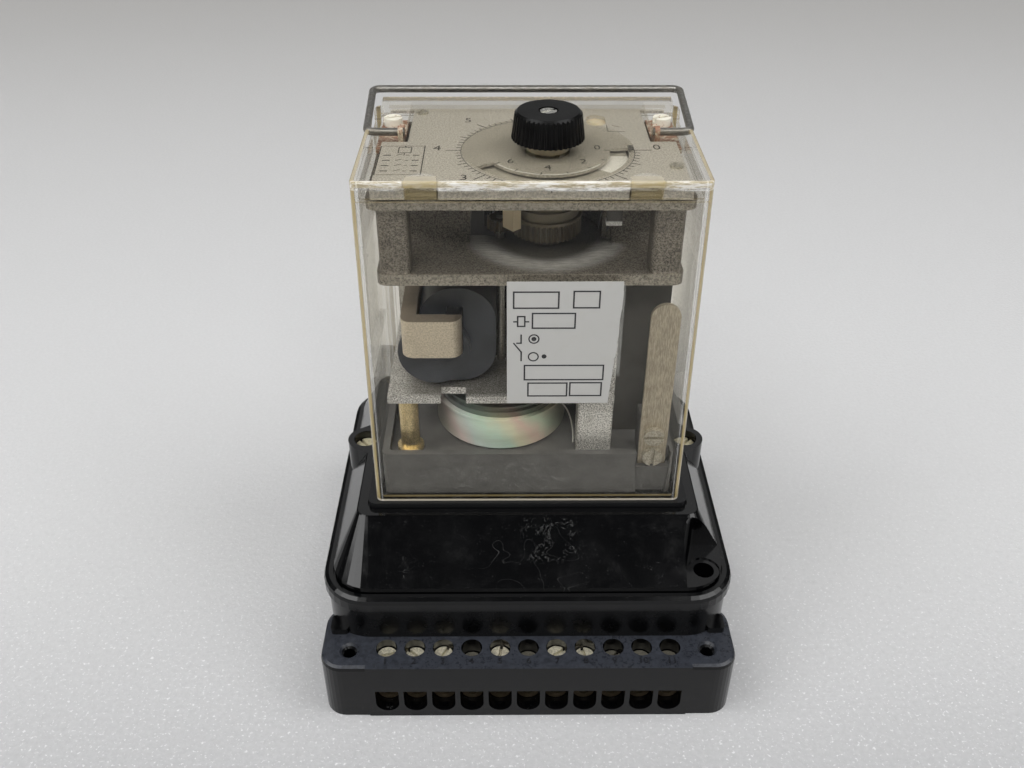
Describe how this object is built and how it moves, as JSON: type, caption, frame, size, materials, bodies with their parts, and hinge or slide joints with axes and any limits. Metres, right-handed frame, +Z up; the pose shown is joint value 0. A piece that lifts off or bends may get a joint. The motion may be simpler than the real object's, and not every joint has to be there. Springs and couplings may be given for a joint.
{
  "type": "plug-in time relay",
  "caption": "Plug-in motor-driven time relay in a clear cover with a setting knob and a carrying bail, on a black terminal base.",
  "frame": {"origin": "middle of the base's underside", "axes": "+Z up along the cover, +Y to the rear, -Y the terminal side, +X to the right seen from the terminals"},
  "size_m": [0.13, 0.125, 0.1737],
  "materials": {
    "bakelite_black": "glossy black moulding, dusty and scratched",
    "base_black": "dark grey-black moulding",
    "panel_grey": "dark grey laminate",
    "laminate_brown": "brown phenolic laminate",
    "cover_clear": "clear polystyrene with yellowed edges",
    "disc_clear": "clear plastic",
    "label_white": "white label with plain black boxes",
    "wire_steel": "dull steel wire",
    "bracket_brown": "steel with brown lock varnish",
    "screw_cream": "plated screw with cream sealing varnish",
    "screw_nickel": "nickel-plated screw",
    "knob_black": "black moulding",
    "cream_plastic": "cream translucent plastic",
    "dial_silver": "silver-beige printed dial",
    "zinc_cast": "grainy zinc die-casting",
    "steel_plain": "plain steel",
    "zinc_yellow": "iridescent yellow zinc plating",
    "brass": "aged brass",
    "coil_black": "black taped winding"
  },
  "bodies": {
    "base": {"terminal_base": "bakelite_black", "terminal_blocks": "brass", "terminal_screws": "screw_nickel", "socket_clips": "brass", "plinth": "bakelite_black", "plinth_screws": "screw_cream", "relay_base": "base_black", "plug_plate": "laminate_brown", "plug_blades": "brass", "cover": "cover_clear", "rating_label": "label_white", "bail_brackets": "bracket_brown", "bracket_screws": "screw_cream", "dial_plate": "dial_silver", "dial_screws": "screw_nickel", "dial_pad": "cream_plastic", "upper_frame": "zinc_cast", "stop_spring": "screw_nickel", "lower_frame": "zinc_cast", "brass_post": "brass", "rear_columns": "steel_plain", "motor_can": "zinc_yellow", "motor_lid": "zinc_yellow", "magnet_yoke": "steel_plain", "coil_bobbin": "coil_black", "coil_winding": "coil_black", "magnet_bracket": "steel_plain", "armature_pin": "steel_plain", "back_panel": "panel_grey", "contact_panel": "panel_grey", "contact_block": "base_black", "contact_springs": "brass", "contact_strap": "steel_plain", "strap_screws": "screw_nickel"},
    "bail": {"bail": "wire_steel"},
    "setting": {"knob": "knob_black", "knob_screw": "screw_nickel", "knob_collar": "cream_plastic", "index_disc": "disc_clear", "setting_spindle": "steel_plain", "setting_cam": "cream_plastic"},
    "timing": {"timing_gear": "cream_plastic", "elapsed_pointer": "dial_silver"},
    "drive": {"drive_shaft": "steel_plain", "drive_pinion": "brass"},
    "armature": {"armature": "steel_plain"}
  },
  "joints": [
    {"name": "bail_swing", "type": "hinge", "parent": "base", "child": "bail", "pos_m": [0, 0.0167, 0.1637], "axis": [1, 0, 0], "range_deg": [0, 100]},
    {"name": "knob_turn", "type": "hinge", "parent": "base", "child": "setting", "pos_m": [0.0051, 0.0067, 0.1659], "axis": [0, 0, 1], "range_deg": [-270, 0]},
    {"name": "timing_turn", "type": "hinge", "parent": "base", "child": "timing", "pos_m": [0.0051, 0.0067, 0.14], "axis": [0, 0, 1], "range_deg": [-135, 0]},
    {"name": "drive_turn", "type": "hinge", "parent": "base", "child": "drive", "pos_m": [-0.00846, 0.0067, 0.14], "axis": [0, 0, 1], "range_deg": [0, 386]},
    {"name": "armature_swing", "type": "hinge", "parent": "base", "child": "armature", "pos_m": [-0.0386, 0.0234, 0.113], "axis": [0, 0, 1], "range_deg": [-3, 0], "stiffness_Nm_per_rad": 0.01}
  ],
  "couplings": [
    {"joint": "drive_turn", "follows": "timing_turn", "ratio": -2.8571}
  ]
}
